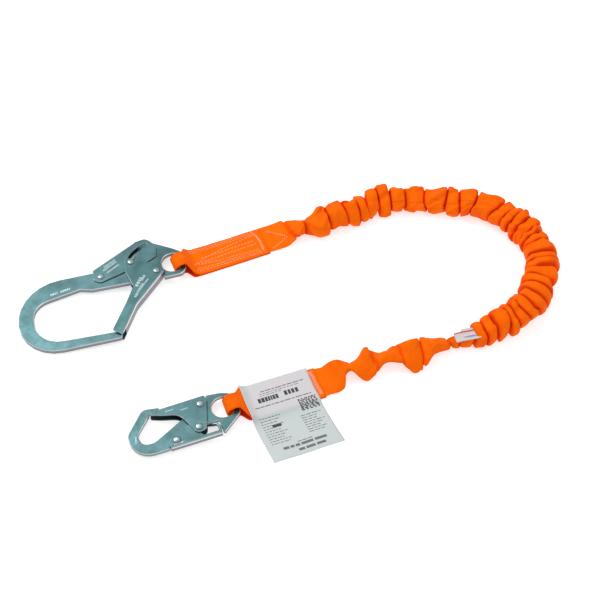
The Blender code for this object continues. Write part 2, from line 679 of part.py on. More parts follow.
def leg_frames(points):
    centres = [centre for centre, _ in points]
    sides = []
    for index in range(len(centres)):
        ahead = centres[min(index + 1, len(centres) - 1)] - centres[max(index - 1, 0)]
        sides.append(Vector((ahead.y, -ahead.x, 0)).normalized())
    return sides


def section_rows(points, shape):
    """Rings of a section given as (across, up) points from the centre and its radius."""
    return [[centre + side * across + Vector((0, 0, up)) for across, up in shape(radius)]
            for (centre, radius), side in zip(points, leg_frames(points))]


def oval(width, height, sides=12, across=0.0):
    return [(across + width * math.cos(math.tau * k / sides),
             height * math.sin(math.tau * k / sides)) for k in range(sides)]


def build_leg():
    """The outer tubular web, the core strap in it and the elastic on each side."""
    points = leg_points()
    bm = bmesh.new()
    outer = section_rows(points, lambda radius: oval(radius, radius, sides=TUBE_SIDES))
    inner = section_rows(points, lambda radius: oval(radius - TUBE_WALL,
                                                     radius - TUBE_WALL, sides=TUBE_SIDES))
    skins = []
    for ring in (outer, inner):
        skins.append([[bm.verts.new(point) for point in row] for row in ring])
    for skin in skins:
        for low, high in zip(skin, skin[1:]):
            for k in range(len(low)):
                following = (k + 1) % len(low)
                bm.faces.new((low[k], low[following], high[following], high[k]))
    for end in (0, -1):
        outer_row, inner_row = skins[0][end], skins[1][end]
        for k in range(len(outer_row)):
            following = (k + 1) % len(outer_row)
            bm.faces.new((outer_row[k], outer_row[following],
                          inner_row[following], inner_row[k]))
    finish_mesh("stretch_web_tube", bm, "orange_web")

    inside = points[1:-1]
    strap = [(CORE_WIDTH / 2, -CORE_THICKNESS / 2), (CORE_WIDTH / 2, CORE_THICKNESS / 2),
             (-CORE_WIDTH / 2, CORE_THICKNESS / 2), (-CORE_WIDTH / 2, -CORE_THICKNESS / 2)]
    fitted = [(x * 0.55, z * 0.55) for x, z in strap]
    shape = {True: strap, False: fitted}
    bm = bmesh.new()
    rows = section_rows(inside, lambda radius: shape[radius > 11 * MM])
    close_rows(bm, [[bm.verts.new(point) for point in row] for row in rows])
    finish_mesh("shock_absorbing_core", bm, "core_web")
    middle = points[3:-3]
    for name, sign in (("elastic_cord_outer", 1.0), ("elastic_cord_inner", -1.0)):
        bm = bmesh.new()
        rows = section_rows(middle, lambda radius: oval(ELASTIC_RADIUS, ELASTIC_RADIUS, 5,
                                                        sign * (CORE_WIDTH / 2 + 2.0 * MM)))
        close_rows(bm, [[bm.verts.new(point) for point in row] for row in rows])
        finish_mesh(name, bm, "elastic")
    return points


def build_labels(place, points):
    """The folded sheet over the snap hook's web eye and the small tag round the leg."""
    rows = []
    reach = LABEL_PATH[-1][0]
    stations = [EYE_LEAD * step / LEAD_STEPS for step in range(4, LEAD_STEPS)]
    stations += [EYE_LEAD + (LABEL_END - EYE_LEAD) * step / 5 for step in range(6)]
    for across, share in LABEL_PATH:
        skew = LABEL_SKEW * max(0.0, across / reach) ** 1.5
        row = []
        for distance in stations:
            point, heading = place(distance)
            side = Vector((-heading.y, heading.x, 0))
            top = upper_layer(distance, point.z) + WEB_THICKNESS / 2 + LABEL_LIFT
            height = LABEL_REST + (top - LABEL_REST) * share
            row.append(Vector((point.x, point.y, height)) + side * across * MM
                       + heading * skew)
        rows.append(row)
    ribbon("main_label", rows, LABEL_THICKNESS, "label_sheet")

    first, last = round(TAG_START * len(points)), round(TAG_END * len(points))
    sides = leg_frames(points)
    rows = []
    for index in range(first, last + 1):
        centre, radius = points[index]
        reach = radius + GAP + TAG_THICKNESS
        row = []
        for step in range(9):
            angle = math.pi / 2 + TAG_ARC * (step / 8 - 0.5)
            row.append(centre + sides[index] * reach * math.cos(angle)
                       + Vector((0, 0, reach * math.sin(angle))))
        rows.append(row)
    ribbon("leg_tag", rows, TAG_THICKNESS, "label_sheet")


def main():
    clear_scene()
    scaffold_frame = build_hook(SCAFFOLD_HOOK)
    snap_frame = build_hook(SNAP_HOOK)
    web_eye("scaffold_web_eye", scaffold_frame, SCAFFOLD_HOOK, SCAFFOLD_EYE_END,
            SCAFFOLD_EYE_BEND)
    place = web_eye("snap_web_eye", snap_frame, SNAP_HOOK, SNAP_EYE_END, SNAP_EYE_BEND)
    points = build_leg()
    build_labels(place, points)


main()
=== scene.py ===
"""Looks for the shock-absorbing lanyard: gathered orange web, zinc-plated hooks, labels."""
import math

import bpy
import numpy as np
from mathutils import Matrix, Vector


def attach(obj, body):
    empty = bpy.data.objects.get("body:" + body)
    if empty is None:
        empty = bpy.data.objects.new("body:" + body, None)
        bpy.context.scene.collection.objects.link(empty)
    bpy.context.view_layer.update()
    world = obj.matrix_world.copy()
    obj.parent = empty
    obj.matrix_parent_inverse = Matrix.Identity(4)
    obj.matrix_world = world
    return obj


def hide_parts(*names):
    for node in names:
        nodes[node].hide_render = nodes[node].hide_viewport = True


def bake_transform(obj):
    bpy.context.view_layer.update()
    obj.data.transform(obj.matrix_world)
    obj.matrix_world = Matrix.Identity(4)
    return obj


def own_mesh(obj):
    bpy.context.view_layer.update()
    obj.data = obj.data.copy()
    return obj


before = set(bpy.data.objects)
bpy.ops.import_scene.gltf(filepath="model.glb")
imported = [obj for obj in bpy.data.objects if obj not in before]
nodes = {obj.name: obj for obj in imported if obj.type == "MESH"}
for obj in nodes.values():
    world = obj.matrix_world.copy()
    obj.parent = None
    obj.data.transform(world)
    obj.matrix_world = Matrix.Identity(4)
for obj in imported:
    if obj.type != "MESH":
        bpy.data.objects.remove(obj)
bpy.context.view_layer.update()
MM = 0.001
RNG = np.random.default_rng(11)

# ------------------------------------------------------------------ camera and light
SHIFT = np.array((143.6, 69.0, 0.0))          # the layout's working centre, mm
AIM = Vector(SHIFT * MM)
ELEVATION, DISTANCE = math.radians(52.0), 1.72

camera = bpy.data.objects.new("camera", bpy.data.cameras.new("camera"))
bpy.context.scene.collection.objects.link(camera)
camera.location = AIM + DISTANCE * Vector((0, -math.cos(ELEVATION), math.sin(ELEVATION)))
camera.rotation_euler = (AIM - camera.location).to_track_quat("-Z", "Y").to_euler()
camera.data.lens = 83.0
camera.data.sensor_width = 36.0
bpy.context.scene.camera = camera
bpy.context.scene.view_settings.view_transform = "Standard"

# The leg's route, as it is in the part: x, y and the gathered web's radius in mm.
LEG_ROUTE = (
    (-36, 90, 7), (-18, 96, 10), (3, 104, 14), (31, 108, 17), (72, 126, 18), (93, 140, 18),
    (118, 146, 19), (158, 148, 20), (188, 147, 20), (212, 145, 21), (236, 140, 21),
    (257, 131, 22), (280, 115, 22), (297, 94, 22), (309, 69, 22), (314, 44, 22),
    (312, 18, 22), (304, -5, 22), (292, -25, 22), (276, -42, 21), (255, -56, 20),
    (234, -66, 18), (212, -76, 15), (188, -82, 14), (168, -88, 15), (148, -98, 17),
    (126, -105, 17), (103, -109, 16), (83, -116, 15), (62, -122, 13), (45, -129, 10),
    (33, -134, 7),
)


def light(name, energy, size, place):
    """A square lamp that looks at the aim point."""
    lamp = bpy.data.lights.new(name, "AREA")
    lamp.energy, lamp.size = energy, size
    obj = bpy.data.objects.new(name, lamp)
    obj.location = place
    obj.rotation_euler = (AIM - place).to_track_quat("-Z", "Y").to_euler()
    bpy.context.scene.collection.objects.link(obj)


light("key", 13.0, 0.9, AIM + Vector((-0.9, 0.5, 1.3)))
light("fill", 4.0, 1.4, AIM + Vector((1.2, -0.5, 1.2)))

# A white studio that is greyer towards the horizon.
world = bpy.data.worlds.new("studio")
bpy.context.scene.world = world
world.use_nodes = True
tree = world.node_tree
ground = tree.nodes["Background"]
coord = tree.nodes.new("ShaderNodeTexCoord")
split = tree.nodes.new("ShaderNodeSeparateXYZ")
ramp = tree.nodes.new("ShaderNodeValToRGB")
tree.links.new(coord.outputs["Generated"], split.inputs[0])
tree.links.new(split.outputs["Z"], ramp.inputs[0])
tree.links.new(ramp.outputs[0], ground.inputs[0])
ramp.color_ramp.elements[0].position = 0.0
ramp.color_ramp.elements[0].color = (0.30, 0.31, 0.32, 1)
ramp.color_ramp.elements[1].position = 0.9
ramp.color_ramp.elements[1].color = (1, 1, 1, 1)
ground.inputs[1].default_value = 0.86


# ------------------------------------------------------------------ materials
class Shader:
    """A Principled material and a few short ways to add nodes to it."""

    def __init__(self, name, colour, roughness, metallic=0.0):
        self.mat = bpy.data.materials.new(name)
        self.mat.use_nodes = True
        self.tree = self.mat.node_tree
        self.bsdf = self.tree.nodes["Principled BSDF"]
        self.set("Base Color", (*colour, 1.0))
        self.set("Roughness", roughness)
        self.set("Metallic", metallic)

    def set(self, socket, value):
        self.bsdf.inputs[socket].default_value = value

    def node(self, kind, **values):
        made = self.tree.nodes.new("ShaderNode" + kind)
        for key, value in values.items():
            if key in made.inputs:
                made.inputs[key].default_value = value
            else:
                setattr(made, key, value)
        return made

    def link(self, start, end):
        self.tree.links.new(start, end)

    def coords(self, kind):
        return self.node("TexCoord").outputs[kind]

    def noise(self, scale, detail=3.0):
        made = self.node("TexNoise", Scale=scale, Detail=detail)
        self.link(self.coords("Object"), made.inputs["Vector"])
        return made.outputs[0]

    def math(self, operation, a, b=0.0):
        made = self.node("Math", operation=operation)
        for socket, value in zip(made.inputs, (a, b)):
            if isinstance(value, (int, float)):
                socket.default_value = value
            else:
                self.link(value, socket)
        return made.outputs[0]

    def remap(self, value, low, high, new_low, new_high):
        made = self.node("MapRange")
        self.link(value, made.inputs[0])
        for socket, number in zip(made.inputs[1:5], (low, high, new_low, new_high)):
            socket.default_value = number
        return made.outputs[0]

    def mix(self, factor, a, b):
        made = self.node("Mix", data_type="RGBA")
        self.link(factor, made.inputs[0])
        for socket, value in ((made.inputs[6], a), (made.inputs[7], b)):
            if isinstance(value, tuple):
                socket.default_value = (*value, 1.0)
            else:
                self.link(value, socket)
        return made.outputs[2]

    def colour(self, output):
        self.link(output, self.bsdf.inputs["Base Color"])

    def rough(self, output):
        self.link(output, self.bsdf.inputs["Roughness"])

    def bump(self, heights, strength, distance):
        made = self.node("Bump", Strength=strength, Distance=distance)
        self.link(heights, made.inputs["Height"])
        self.link(made.outputs[0], self.bsdf.inputs["Normal"])


def zinc(name, face, edge, flank_shading, roughness):
    """Satin zinc plate: cloudy tinted faces, a painted highlight on the rounded edges and painted
    shading that turns the upright flanks plain grey, both set by which way the surface faces.
    """
    sh = Shader(name, face, roughness, 0.88)
    cloud = sh.remap(sh.noise(42.0, 5.0), 0.32, 0.68, 0.0, 1.0)
    tinted = sh.mix(cloud, tuple(value * 0.76 for value in face),
                    tuple(min(value * 1.28, 1.0) for value in face))
    normal = sh.node("SeparateXYZ")
    sh.link(sh.coords("Normal"), normal.inputs[0])
    level = sh.math("ABSOLUTE", normal.outputs[2])
    # Painted highlight: where the surface turns from face to flank it takes the bright edge
    # colour.
    painted_highlight_rim = sh.mix(sh.remap(level, 0.82, 0.97, 0.0, 1.0), edge, tinted)
    # Painted shading: upright faces take the plain grey flank colour.
    sh.colour(sh.mix(sh.remap(level, 0.15, 0.45, 0.0, 1.0), flank_shading, painted_highlight_rim))
    grain = sh.noise(1800.0, 2.0)
    sh.rough(sh.remap(sh.noise(260.0, 3.0), 0.3, 0.7, roughness - 0.06, roughness + 0.08))
    sh.bump(grain, 0.25, 0.00008)
    return sh.mat


CHEVRON_PITCH, RIB_PITCH, WARP_PITCH = 2.2, 1.5, 1.1     # of the weave, in mm


def web_cloth(name):
    """Woven polyester: chevron ribs along the web, with redder folds where light bounces."""
    sh = Shader(name, (1.0, 0.145, 0.003), 0.72)
    sh.set("Sheen Weight", 0.04)
    sh.set("Sheen Roughness", 0.5)
    sh.set("Sheen Tint", (1.0, 0.35, 0.05, 1.0))
    sh.set("Specular IOR Level", 0.06)
    split_uv = sh.node("SeparateXYZ")
    sh.link(sh.coords("UV"), split_uv.inputs[0])
    along, across = split_uv.outputs[0], split_uv.outputs[1]
    zigzag = sh.math("PINGPONG", across, CHEVRON_PITCH)
    ribs = sh.math("SINE", sh.math("MULTIPLY", sh.math("ADD", along, zigzag),
                                   math.tau / RIB_PITCH))
    warp = sh.math("SINE", sh.math("MULTIPLY", across, math.tau / WARP_PITCH))
    weave = sh.math("ADD", sh.math("MULTIPLY", ribs, 0.6), sh.math("MULTIPLY", warp, 0.4))
    sh.bump(weave, 0.35, 0.00022)
    tone = sh.remap(sh.noise(55.0, 3.0), 0.3, 0.7, 0.0, 1.0)
    base = sh.mix(tone, (1.0, 0.152, 0.0), (1.0, 0.205, 0.0))
    thread = sh.remap(weave, -1.0, 1.0, 0.0, 1.0)
    # Painted shade in the weave: where it is low, the orange is darker.
    base = sh.mix(thread, (0.95, 0.120, 0.0), base)
    # Painted shade: the fold attribute darkens the orange to a deep red in creases, tucks,
    # underneath and on the eyes' lower layer.
    shade_and_fold = sh.node("Attribute", attribute_name="shade_and_fold").outputs["Fac"]
    sh.colour(sh.mix(shade_and_fold, base, (0.78, 0.016, 0.001)))
    sh.rough(sh.remap(thread, 0.0, 1.0, 0.62, 0.8))
    return sh.mat


def paper(name, colour, second=None):
    """Matt sheet; where the fold attribute is 1 it takes its second tint."""
    sh = Shader(name, colour, 0.5)
    tone = sh.remap(sh.noise(90.0, 4.0), 0.3, 0.7, 0.0, 1.0)
    if second:
        shade_and_fold = sh.node("Attribute", attribute_name="shade_and_fold").outputs["Fac"]
        colour = sh.mix(shade_and_fold, colour, second)
        sh.colour(sh.mix(tone, colour, sh.mix(tone, colour, second)))
    else:
        sh.colour(sh.mix(tone, tuple(v * 0.93 for v in colour), colour))
    sh.bump(sh.noise(700.0, 3.0), 0.12, 0.0001)
    sh.set("Specular IOR Level", 0.3)
    return sh.mat


def thread_mat(name, colour):
    """Sewing thread, a little mottled."""
    sh = Shader(name, colour, 0.6)
    sh.bump(sh.noise(3000.0, 1.0), 0.3, 0.0001)
    tone = sh.remap(sh.noise(300.0, 2.0), 0.3, 0.7, 0.0, 1.0)
    sh.colour(sh.mix(tone, tuple(v * 0.8 for v in colour), colour))
    return sh.mat


def bright(name, colour, roughness):
    """Bare bright metal with faint scuffs."""
    sh = Shader(name, colour, roughness, 1.0)
    sh.rough(sh.remap(sh.noise(500.0, 3.0), 0.3, 0.7, roughness - 0.05, roughness + 0.1))
    sh.bump(sh.noise(900.0, 2.0), 0.2, 0.0001)
    return sh.mat


# Each zinc's third colour is a painted highlight for its rounded edges; its fourth is painted
# shading for its flanks.
PLATE = zinc("plate_zinc", (0.078, 0.162, 0.172), (0.74, 0.80, 0.81), (0.22, 0.22, 0.24), 0.38)
GATE = zinc("gate_zinc", (0.068, 0.152, 0.158), (0.82, 0.87, 0.88), (0.26, 0.25, 0.27), 0.36)
RIVET = bright("rivet_steel", (0.30, 0.36, 0.38), 0.24)
SPRING = bright("spring_wire", (0.55, 0.58, 0.60), 0.3)
WEB = web_cloth("orange_web")
FLAT_WEB = web_cloth("orange_web_sewn")
LABEL = paper("label_white", (0.64, 0.60, 0.62), (0.56, 0.61, 0.61))
TAG_RED = paper("tag_red", (0.75, 0.05, 0.03))
INK = paper("label_ink", (0.05, 0.05, 0.055))
GREY_INK = paper("label_grey", (0.15, 0.16, 0.18))
WHITE_THREAD = thread_mat("white_thread", (0.95, 0.68, 0.55))
DARK_THREAD = thread_mat("dark_thread", (0.12, 0.02, 0.01))
ETCH = bright("etched_marks", (0.36, 0.46, 0.47), 0.45)


# ------------------------------------------------------------------ helpers
TINY = 1e-9


def add(name, verts, faces, mat, body, rounded=True):
    """A new piece from points in metres; with a body, it rides on it."""
    mesh = bpy.data.meshes.new(name)
    mesh.from_pydata([tuple(v) for v in verts], [], faces)
    if rounded:
        mesh.shade_smooth()
    mesh.materials.append(mat)
    obj = bpy.data.objects.new(name, mesh)
    bpy.context.scene.collection.objects.link(obj)
    if body:
        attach(obj, body)
    return obj


def tube_faces(rows, columns):
    """Faces round rows of points, each row a closed loop, with a cap at each end."""
    faces = []
    for r in range(rows - 1):
        for k in range(columns):
            k2 = (k + 1) % columns
            faces.append((r * columns + k, r * columns + k2,
                          (r + 1) * columns + k2, (r + 1) * columns + k))
    faces.append(tuple(range(columns))[::-1])
    faces.append(tuple((rows - 1) * columns + k for k in range(columns)))
    return faces


def slab(upper, lower):
    """A sheet's points in metres and its faces, from its two sides' grids in mm."""
    loops = np.concatenate((upper, lower[:, ::-1]), axis=1)
    return loops.reshape(-1, 3) * MM, tube_faces(*loops.shape[:2])


def unit_cross(a, b):
    """Unit vectors square to two grids of vectors."""
    n = np.cross(a, b)
    return n / np.maximum(np.linalg.norm(n, axis=2, keepdims=True), TINY)


def smooth(t):
    """Smoothstep: 0 at 0 and 1 at 1, level at both."""
    return t * t * (3 - 2 * t)


def set_uv(obj, uv):
    """Weave coordinates from one (u, v) per vertex, in mm."""
    layer = obj.data.uv_layers.new(name="weave")
    loops = np.empty(len(obj.data.loops), dtype=np.int32)
    obj.data.loops.foreach_get("vertex_index", loops)
    layer.data.foreach_set("uv", np.asarray(uv, dtype=np.float32)[loops].ravel())


def set_shade_and_fold(obj, values):
    """The attribute per vertex, 0 to 1, for the materials: on the web, painted shade in folds,
    creases and underneath; on the label, the part past its fold line.
    """
    layer = obj.data.attributes.new("shade_and_fold", "FLOAT", "POINT")
    layer.data.foreach_set("value", np.asarray(values, dtype=np.float32).ravel())


STEPS_BETWEEN = 16                              # samples from one point to the next


def catmull(points, count):
    """Evenly spaced samples of a Catmull-Rom curve through rows of numbers, and its length."""
    pts = np.asarray(points, dtype=float)
    padded = np.vstack((2 * pts[0] - pts[1], pts, 2 * pts[-1] - pts[-2]))
    t = np.linspace(0, 1, STEPS_BETWEEN, endpoint=False)[:, None]
    dense = []
    for a, b, c, d in zip(padded, padded[1:], padded[2:], padded[3:]):
        dense.append(0.5 * (2 * b + (c - a) * t + (2 * a - 5 * b + 4 * c - d) * t * t
                            + (3 * b - a - 3 * c + d) * t ** 3))
    dense = np.vstack(dense + [pts[-1:]])
    steps = np.linalg.norm(np.diff(dense[:, :2], axis=0), axis=1)
    place = np.concatenate(([0.0], np.cumsum(steps)))
    wanted = np.linspace(0, place[-1], count)
    columns = [np.interp(wanted, place, column) for column in dense.T]
    return np.stack(columns, axis=1), place[-1]


def smooth_noise(length, pitch, seed):
    """A smooth random function of distance in mm: knots every pitch, values -1 to 1."""
    rng = np.random.default_rng(seed)
    knots = np.arange(-2, length / pitch + 3) * pitch
    values = rng.uniform(-1, 1, len(knots))

    def value_at(x):
        x = np.asarray(x, dtype=float)
        index = np.clip(((x - knots[0]) / pitch).astype(int), 0, len(knots) - 2)
        t = smooth(np.clip((x - knots[index]) / pitch, 0, 1))
        return values[index] * (1 - t) + values[index + 1] * t
    return value_at


def step_between(x, low, high):
    """A smooth step from 0 at low to 1 at high."""
    return smooth(np.clip((np.asarray(x, dtype=float) - low) / (high - low), 0, 1))


STITCH_SIDES = 6
STITCH_PROFILE = ((0.0, 0.15), (0.12, 0.75), (0.5, 1.0), (0.88, 0.75), (1.0, 0.15))
STITCH_FACES = tube_faces(len(STITCH_PROFILE), STITCH_SIDES)
AHEAD = 0.3                                     # mm either way, for a run's direction


def row_at(rows, place, where):
    """The row of numbers at one distance, between the rows at the distances in place."""
    return np.array([np.interp(where, place, column) for column in rows.T])


def stitches(name, runs, mat, body, length=2.6, gap=1.5, radius=0.38):
    """Thread stitches along runs of (point, normal) pairs in mm."""
    verts, faces = [], []
    for run in runs:
        pts = np.array([p for p, _ in run], dtype=float)
        nrm = np.array([n for _, n in run], dtype=float)
        place = np.concatenate(([0], np.cumsum(np.linalg.norm(np.diff(pts, axis=0), axis=1))))

        start = 0.0
        while start + length <= place[-1]:
            base = len(verts)
            for share, width in STITCH_PROFILE:
                where = start + length * share
                p, n = row_at(pts, place, where), row_at(nrm, place, where)
                n /= np.linalg.norm(n)
                side = np.cross(row_at(pts, place, where + AHEAD)
                                - row_at(pts, place, where - AHEAD), n)
                side /= max(np.linalg.norm(side), TINY)
                p = p + n * radius * (0.75 * width - 0.35)      # its ends sink into the web
                for k in range(STITCH_SIDES):
                    a = math.tau * k / STITCH_SIDES
                    verts.append((p + radius * width
                                  * (side * math.cos(a) + n * math.sin(a))) * MM)
            faces += [tuple(base + i for i in face) for face in STITCH_FACES]
            start += length + gap
    return add(name, verts, faces, mat, body)


# ------------------------------------------------------------------ the sewn web eyes
WEB_THICK, WEB_HALF = 1.9, 22.0
EYE_LEAD, EYE_RADIUS, EYE_REACH = 34.0, 8.1, 12.0
EYE_HALF = 11.0                                 # half the bunched web's width at the bar
LOWER, SEWN = 1.15, 3.35                        # heights of the sewn layers' middles


class Eye:
    """A web eye as the part has it: round the eye bar, then two layers sewn flat."""

    def __init__(self, bar, yaw, end, bend):
        self.bar = np.array(bar)
        a = math.radians(yaw)
        turn = np.array(((math.cos(a), -math.sin(a)), (math.sin(a), math.cos(a))))
        self.control, self.finish = turn @ np.array(bend), turn @ np.array(end)
        self.length = float(np.linalg.norm(self.finish))

    def place(self, d):
        """The middle line's point and heading in plan, d mm from the bar."""
        if d <= 0.0:
            heading = self.control / np.linalg.norm(self.control)
            return self.bar[:2] + heading * d, heading
        t = d / self.length
        point = self.bar[:2] + self.control * 2 * t * (1 - t) + self.finish * t * t
        heading = self.control * (1 - 2 * t) + self.finish * t
        return point, heading / np.linalg.norm(heading)

    def top(self, d):
        """Height of the upper layer's middle at distance d."""
        crest = self.bar[2] + EYE_RADIUS + WEB_THICK / 2
        return SEWN + (crest - SEWN) * smooth(min(max(1 - d / EYE_LEAD, 0.0), 1.0))

    def half_width(self, d):
        return EYE_HALF + (WEB_HALF - EYE_HALF) * float(step_between(d, 4.0, 20.0))

    def surface(self, d, v, lift):
        """A point on the upper face at distance d and v mm across, and its normal."""
        def point_at(d2, v2):
            point, heading = self.place(d2)
            side = np.array((-heading[1], heading[0]))
            plan = point + side * v2
            return np.array((plan[0], plan[1], self.top(d2) + self.ripple(d2, v2)))
        n = np.cross(point_at(d + 0.5, v) - point_at(d - 0.5, v),
                     point_at(d, v + 0.5) - point_at(d, v - 0.5))
        n /= np.linalg.norm(n)
        return point_at(d, v) + n * (WEB_THICK / 2 + lift), n

    def ripple(self, d, v):
        """Low puckers between the rows of stitches and at the edges."""
        sewn = float(step_between(d, 20.0, 40.0))
        pucker = 0.22 * math.sin(d / 4.6 + 0.25 * v) * (abs(v) / WEB_HALF) ** 2
        return sewn * (pucker + 0.35 * math.sin(d / 17.0) * (v / WEB_HALF) ** 2)


BAR_STEPS = 24                                  # of the web's half turn round the eye bar
BUNCH_REACH = 22.0                              # mm from the bar that the web is bunched
EDGE_FROM, EDGE_DROP = 0.9, 0.5                 # share of the half width; mm
ACROSS = np.linspace(-1, 1, 33)


def web_eye(name, eye, node):
    """The web out along the top, round the eye bar and back below, as one thick strip."""
    lead = np.linspace(0, EYE_LEAD, 22)
    sewn = np.linspace(EYE_LEAD, eye.length - 0.3, 34)
    middle = EYE_RADIUS + WEB_THICK / 2
    drop = eye.bar[2] - middle
    profile = [(d, None, "top") for d in np.concatenate((lead[1:], sewn[1:]))[::-1]]
    for step in range(BAR_STEPS + 1):
        a = math.radians(90.0 + 180.0 / BAR_STEPS * step)
        profile.append((EYE_REACH * math.cos(a), eye.bar[2] + middle * math.sin(a), "bar"))
    profile += [(d, drop + (LOWER - drop) * d / EYE_LEAD, "low") for d in lead[2::2]]
    profile += [(d, LOWER, "low") for d in sewn[1::2]]
    centre_column = len(ACROSS) // 2
    rows, eye_shade, uvs = [], [], []
    run, last_centre = 0.0, None
    for d, z, kind in profile:
        point, heading = eye.place(d)
        side = np.array((-heading[1], heading[0]))
        half = eye.half_width(d)
        row = []
        for share in ACROSS:
            v = half * share
            height = eye.top(d) + eye.ripple(d, v) if z is None else z
            bunch = max(0.0, 1 - abs(d) / BUNCH_REACH) if kind != "low" else 0.0
            height += bunch * (0.35 * math.cos(share * 7.0) - 0.7 * share * share)
            edge = max(0.0, abs(share) - EDGE_FROM) * 5.0
            height -= edge * EDGE_DROP if kind == "top" else 0.0
            plan = point + side * v
            row.append((plan[0], plan[1], max(height, WEB_THICK / 2 + 0.1)))
            # Painted shade: the lower sewn layer, the dropped edges and the bunched web at the
            # bar are darkened.
            eye_shade.append(0.75 if kind == "low" else 0.35 * edge + 0.35 * bunch * abs(share))
            uvs.append((run, share * WEB_HALF))
        centre = np.array(row[centre_column])
        if last_centre is not None:
            run += float(np.linalg.norm(centre - last_centre))
        last_centre = centre
        rows.append(row)
    grid = np.array(rows)
    n = unit_cross(np.gradient(grid, axis=0), np.gradient(grid, axis=1))
    edge_round = np.sqrt(np.clip(1 - np.abs(ACROSS) ** 12, 0.08, 1))[None, :, None]
    half_thick = n * WEB_THICK / 2 * edge_round
    obj = add(name, *slab(grid + half_thick, grid - half_thick), FLAT_WEB, "web_leg")
    uvs = np.array(uvs).reshape(*grid.shape[:2], 2)
    set_uv(obj, np.concatenate((uvs, uvs[:, ::-1]), axis=1).reshape(-1, 2))
    shade_and_fold = np.array(eye_shade).reshape(grid.shape[:2])
    set_shade_and_fold(obj, np.concatenate((shade_and_fold, shade_and_fold[:, ::-1]), axis=1))
    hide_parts(node)


# Each eye's bar, its yaw, and where the sewn web ends and bends towards, from the bar.
scaffold_eye = Eye((-0.77, 112.86, 11.57), 13.5, (112.0, 18.3), (24.0, 3.5))
snap_eye = Eye((72.35, -102.94, 10.22), 19.0, (107.9, 1.7), (32.0, 0.0))
web_eye("sewn_eye_scaffold", scaffold_eye, "scaffold_web_eye")
web_eye("sewn_eye_snap", snap_eye, "snap_web_eye")

RUN_STEP, RUN_LIFT = 1.5, 0.05


def run_on(eye, corners):
    """Points and normals along a polyline of (d, v) corners on an eye's upper face."""
    out = []
    for (d0, v0), (d1, v1) in zip(corners, corners[1:]):
        steps = max(2, int(math.hypot(d1 - d0, v1 - v0) / RUN_STEP))
        for k in range(steps):
            t = k / steps
            out.append(eye.surface(d0 + (d1 - d0) * t, v0 + (v1 - v0) * t, RUN_LIFT))
    out.append(eye.surface(*corners[-1], RUN_LIFT))
    return out


scaffold_runs = [run_on(scaffold_eye, line) for line in (
    ((24, 17.5), (108, 18.2)), ((26, 14.6), (106, 15.2)),
    ((24, -16.6), (108, -17.8)), ((28, -13.4), (107, -14.4)),
    ((26, -5.0), (66, 6.0), (107, 13.6)), ((26, -5.0), (66, -3.2), (107, -1.5)),
    ((26, -5.0), (66, -9.5), (107, -11.5)), ((42, 2.5), (106, 4.0)),
)]
stitches("stitching_scaffold_eye", scaffold_runs, WHITE_THREAD, "web_leg", 3.2, 1.4, 0.30)
scaffold_tack = [run_on(scaffold_eye, ((106.0 + off, 19.5), (108.5 + off, 10), (109.4 + off, 0),
                                       (109.0 + off, -10), (108.6 + off, -17)))
                 for off in (-0.5, 0.4)]
stitches("end_tack_scaffold_eye", scaffold_tack, WHITE_THREAD, "web_leg", 2.0, 0.3, 0.40)

snap_runs = [run_on(snap_eye, line) for line in (
    ((100.5, 17.5), (106.5, 17.0)), ((100.8, -15.0), (106.5, -17.0)),
)]
snap_tack = [run_on(snap_eye, ((102.6 + off, 17), (103.9 + off, 8), (103.5 + off, 0),
                               (104.1 + off, -8), (105.0 + off, -17)))
             for off in (-1.2, -0.2, 0.8)]
stitches("stitching_snap_eye", snap_runs, WHITE_THREAD, "web_leg")
stitches("end_tack_snap_eye", snap_tack, WHITE_THREAD, "web_leg", 2.0, 0.3, 0.42)

# ------------------------------------------------------------------ the gathered leg
RINGS, SIDES = ((1500, 72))
INTO_EYES = 8.0                                 # mm that the leg runs into each sewn end


def beyond(end, before):
    """The route's end carried on into the sewn eye."""
    end, before = np.array(end, dtype=float), np.array(before, dtype=float)
    return tuple(end + (end - before) / np.linalg.norm(end - before) * INTO_EYES)


route, LEG_LENGTH = catmull([beyond(LEG_ROUTE[0], LEG_ROUTE[1]), *LEG_ROUTE,
                             beyond(LEG_ROUTE[-1], LEG_ROUTE[-2])], RINGS)
along_leg = np.linspace(0, LEG_LENGTH, RINGS)   # mm
leg_share = along_leg / LEG_LENGTH


SHARE_SCALE, VALUE_SCALE = 1000, 10             # so that the curve's steps follow the share


def profile_at(stations):
    """Smooth values along the leg between (share, value) stations."""
    scaled = [(share * SHARE_SCALE, value * VALUE_SCALE) for share, value in stations]
    points, _ = catmull(scaled, 600)
    return np.interp(leg_share * SHARE_SCALE, points[:, 0], points[:, 1] / VALUE_SCALE)


